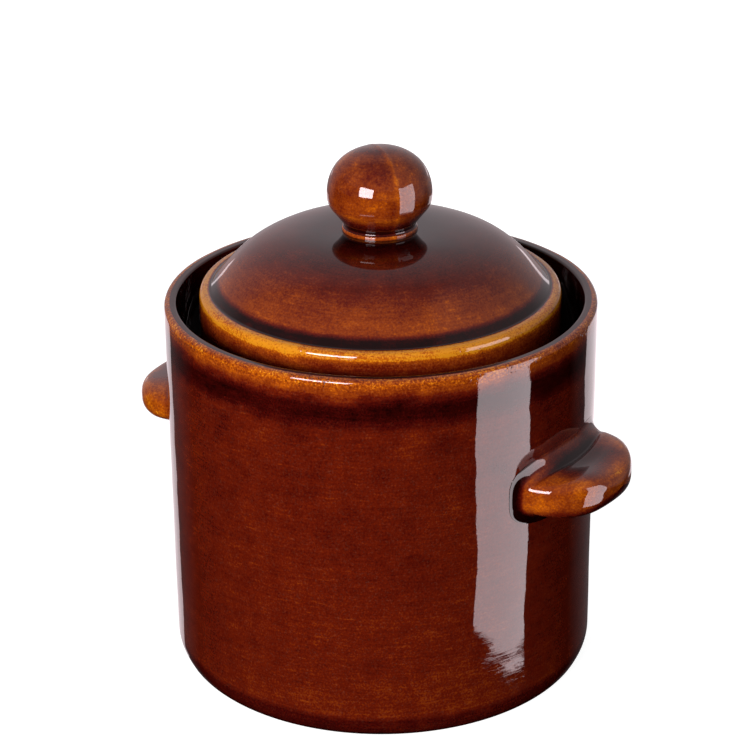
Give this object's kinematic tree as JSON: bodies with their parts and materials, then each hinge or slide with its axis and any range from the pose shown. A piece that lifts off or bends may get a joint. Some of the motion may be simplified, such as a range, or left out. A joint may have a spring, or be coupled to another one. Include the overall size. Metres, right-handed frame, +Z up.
{
  "type": "fermentation crock",
  "caption": "Straight barrel stoneware crock with lug handles, a water-sealed lid with a ball knob, and half-round weight stones, for fermenting vegetables.",
  "frame": {"origin": "centre of the circle of the foot, on the surface that the crock stands on", "axes": "+Z up along the barrel's axis, +X out on the right handle's side, +Y to the back, away from the side to which both handles sit 2.5 degrees"},
  "size_m": [0.2158, 0.17, 0.211],
  "materials": {
    "brown_glaze": "gloss brown glaze over stoneware",
    "honey_brown_glaze": "thinner gloss brown glaze over stoneware",
    "bare_stoneware": "unglazed fired clay"
  },
  "bodies": {
    "crock": {"barrel": "brown_glaze", "water_seal_collar": "brown_glaze", "right_lug_handle": "honey_brown_glaze", "left_lug_handle": "honey_brown_glaze"},
    "lid_with_knob": {"lid": "honey_brown_glaze", "lid_knob": "honey_brown_glaze"},
    "right_stone": {"right_weight_stone": "bare_stoneware"},
    "left_stone": {"left_weight_stone": "bare_stoneware"}
  },
  "joints": [
    {"name": "lid_lift", "type": "slide", "parent": "crock", "child": "lid_with_knob", "axis": [0, 0, 1], "range_m": [0, 0.12]},
    {"name": "right_stone_lift", "type": "slide", "parent": "crock", "child": "right_stone", "axis": [0, 0, 1], "range_m": [0, 0.08]},
    {"name": "left_stone_lift", "type": "slide", "parent": "crock", "child": "left_stone", "axis": [0, 0, 1], "range_m": [0, 0.08]}
  ]
}
